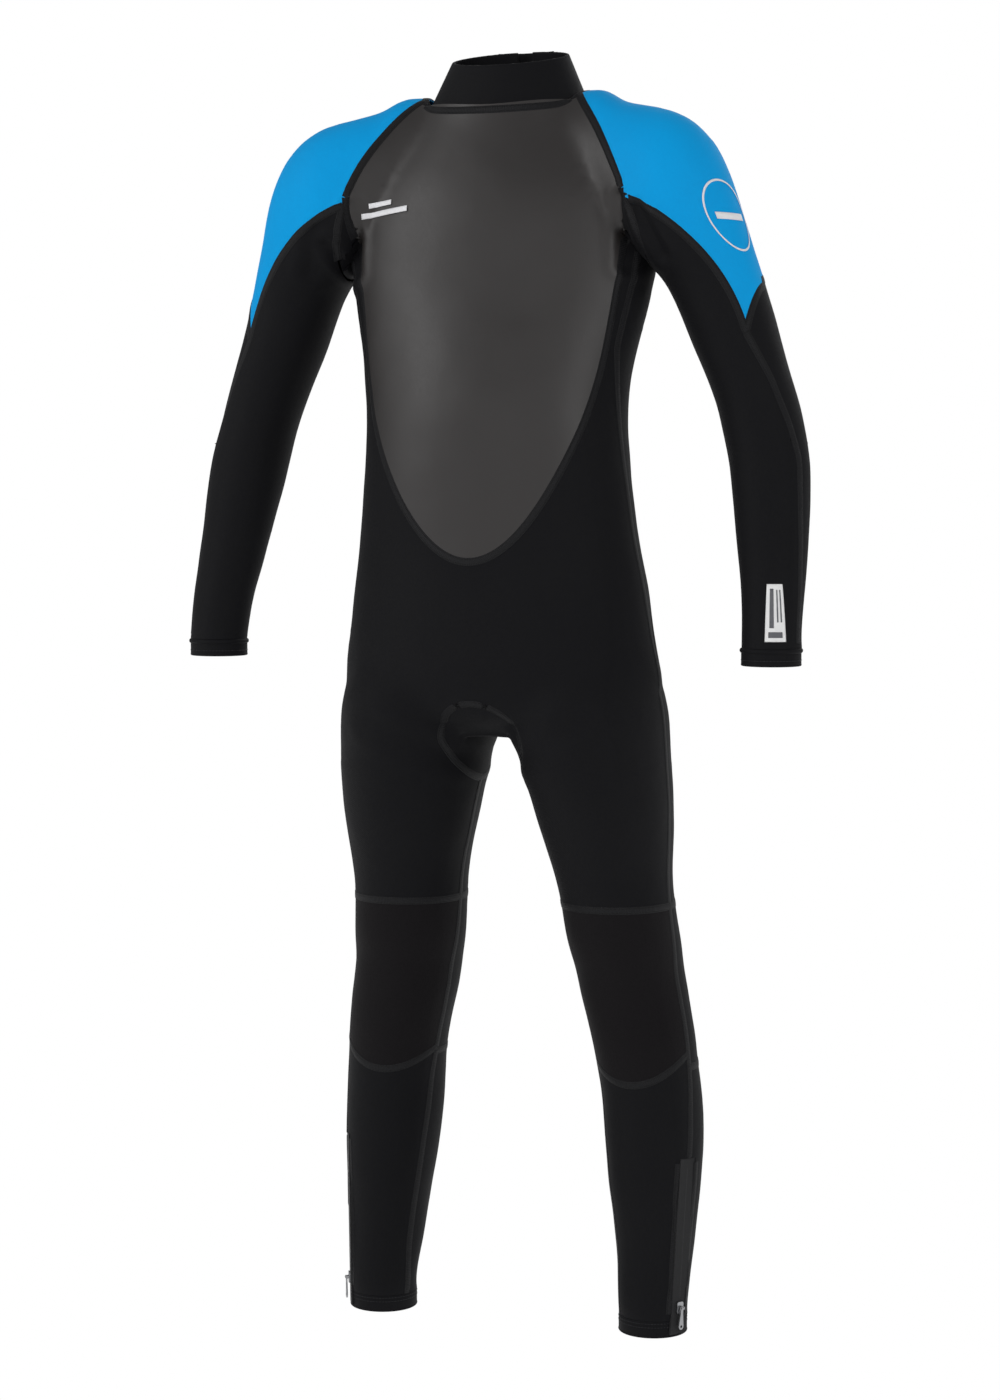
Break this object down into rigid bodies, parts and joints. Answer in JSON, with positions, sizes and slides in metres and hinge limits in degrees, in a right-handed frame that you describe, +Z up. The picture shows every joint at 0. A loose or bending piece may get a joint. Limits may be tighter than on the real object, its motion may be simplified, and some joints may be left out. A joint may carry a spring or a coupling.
{
  "type": "full wetsuit",
  "caption": "Youth long-sleeved back-zip wetsuit of stretch neoprene panels, with smooth chest, blue shoulders, padded knees and zipped ankles.",
  "frame": {"origin": "on the level of the ankle hems, in the middle of the suit's box", "axes": "+Z up along the body, the wearer faces -Y, the wearer's left is +X"},
  "size_m": [0.5864, 0.2108, 1.1898],
  "materials": {
    "smooth_skin": "fine-meshed smooth skin",
    "black_jersey": "nylon jersey over neoprene",
    "blue_jersey": "nylon jersey over neoprene",
    "knee_fabric": "abrasion-resistant knit",
    "zip_tape": "woven tape",
    "zip_coil": "moulded",
    "zip_metal": "dark nickel",
    "pull_plastic": "moulded",
    "hook_loop": "hook and loop",
    "label": "heat-bonded film"
  },
  "bodies": {
    "suit": {"back_flap": "black_jersey", "back_panel_left": "black_jersey", "back_panel_right": "black_jersey", "back_zip_coil": "zip_coil", "back_zip_stops": "zip_coil", "back_zip_tape_left": "zip_tape", "back_zip_tape_right": "zip_tape", "chest_panel": "smooth_skin", "collar": "black_jersey", "collar_loop_patch": "hook_loop", "crotch_gusset": "black_jersey", "elbow_sleeve_left": "black_jersey", "elbow_sleeve_right": "black_jersey", "front_panel": "black_jersey", "knee_back_panel_left": "black_jersey", "knee_back_panel_right": "black_jersey", "knee_pad_left": "knee_fabric", "knee_pad_right": "knee_fabric", "seat_panel": "black_jersey", "shoulder_panel_left": "blue_jersey", "shoulder_panel_right": "blue_jersey", "side_panel_left": "black_jersey", "side_panel_right": "black_jersey", "upper_sleeve_left": "black_jersey", "upper_sleeve_right": "black_jersey"},
    "forearm_left": {"forearm_sleeve_left": "black_jersey", "wrist_cuff_left": "black_jersey", "forearm_label": "label"},
    "shin_left": {"shin_panel_left": "black_jersey", "calf_panel_left": "black_jersey", "ankle_cuff_left": "black_jersey", "ankle_zip_tape_left": "zip_tape", "ankle_zip_coil_left": "zip_coil"},
    "ankle_slider_left": {"ankle_zip_slider_left": "zip_metal"},
    "ankle_pull_left": {"ankle_zip_pull_left": "zip_metal"},
    "forearm_right": {"forearm_sleeve_right": "black_jersey", "wrist_cuff_right": "black_jersey"},
    "shin_right": {"shin_panel_right": "black_jersey", "calf_panel_right": "black_jersey", "ankle_cuff_right": "black_jersey", "ankle_zip_tape_right": "zip_tape", "ankle_zip_coil_right": "zip_coil"},
    "ankle_slider_right": {"ankle_zip_slider_right": "zip_metal"},
    "ankle_pull_right": {"ankle_zip_pull_right": "zip_metal"},
    "back_slider": {"back_zip_slider": "zip_metal"},
    "back_pull": {"back_zip_pull": "pull_plastic"},
    "neck_tab": {"collar_tab": "black_jersey", "tab_hook_patch": "hook_loop"}
  },
  "joints": [
    {"name": "elbow_left", "type": "hinge", "parent": "suit", "child": "forearm_left", "pos_m": [0.2375, 0.001, 0.866], "axis": [-1, 0, 0], "range_deg": [0, 75], "stiffness_Nm_per_rad": 0.5, "deforming": ["elbow_sleeve_left"]},
    {"name": "knee_left", "type": "hinge", "parent": "suit", "child": "shin_left", "pos_m": [0.1125, 0.043, 0.325], "axis": [1, 0, 0], "range_deg": [0, 75], "stiffness_Nm_per_rad": 1, "deforming": ["knee_pad_left", "knee_back_panel_left"]},
    {"name": "ankle_zip_run_left", "type": "slide", "parent": "shin_left", "child": "ankle_slider_left", "axis": [0.0412, 0.0606, 0.9973], "range_m": [0, 0.12]},
    {"name": "ankle_pull_swing_left", "type": "hinge", "parent": "ankle_slider_left", "child": "ankle_pull_left", "pos_m": [0.16742, 0.02028, 0.0269], "axis": [-0.4835, -0.8723, 0.073], "range_deg": [0, 150]},
    {"name": "elbow_right", "type": "hinge", "parent": "suit", "child": "forearm_right", "pos_m": [-0.2375, 0.001, 0.866], "axis": [-1, 0, 0], "range_deg": [0, 75], "stiffness_Nm_per_rad": 0.5, "deforming": ["elbow_sleeve_right"]},
    {"name": "knee_right", "type": "hinge", "parent": "suit", "child": "shin_right", "pos_m": [-0.1125, 0.043, 0.325], "axis": [1, 0, 0], "range_deg": [0, 75], "stiffness_Nm_per_rad": 1, "deforming": ["knee_pad_right", "knee_back_panel_right"]},
    {"name": "ankle_zip_run_right", "type": "slide", "parent": "shin_right", "child": "ankle_slider_right", "axis": [-0.0412, 0.0606, 0.9973], "range_m": [0, 0.12]},
    {"name": "ankle_pull_swing_right", "type": "hinge", "parent": "ankle_slider_right", "child": "ankle_pull_right", "pos_m": [-0.16742, 0.02028, 0.0269], "axis": [-0.4835, 0.8723, -0.073], "range_deg": [0, 150]},
    {"name": "back_zip_run", "type": "slide", "parent": "suit", "child": "back_slider", "axis": [0, -0.0235, -0.9997], "range_m": [0, 0.3]},
    {"name": "back_pull_swing", "type": "hinge", "parent": "back_slider", "child": "back_pull", "pos_m": [0, 0.07683, 1.1198], "axis": [1, 0, 0], "range_deg": [0, 150]},
    {"name": "neck_tab_swing", "type": "hinge", "parent": "suit", "child": "neck_tab", "pos_m": [-0.027, 0.0656, 1.167], "axis": [0, 0, 1], "range_deg": [0, 90]}
  ]
}
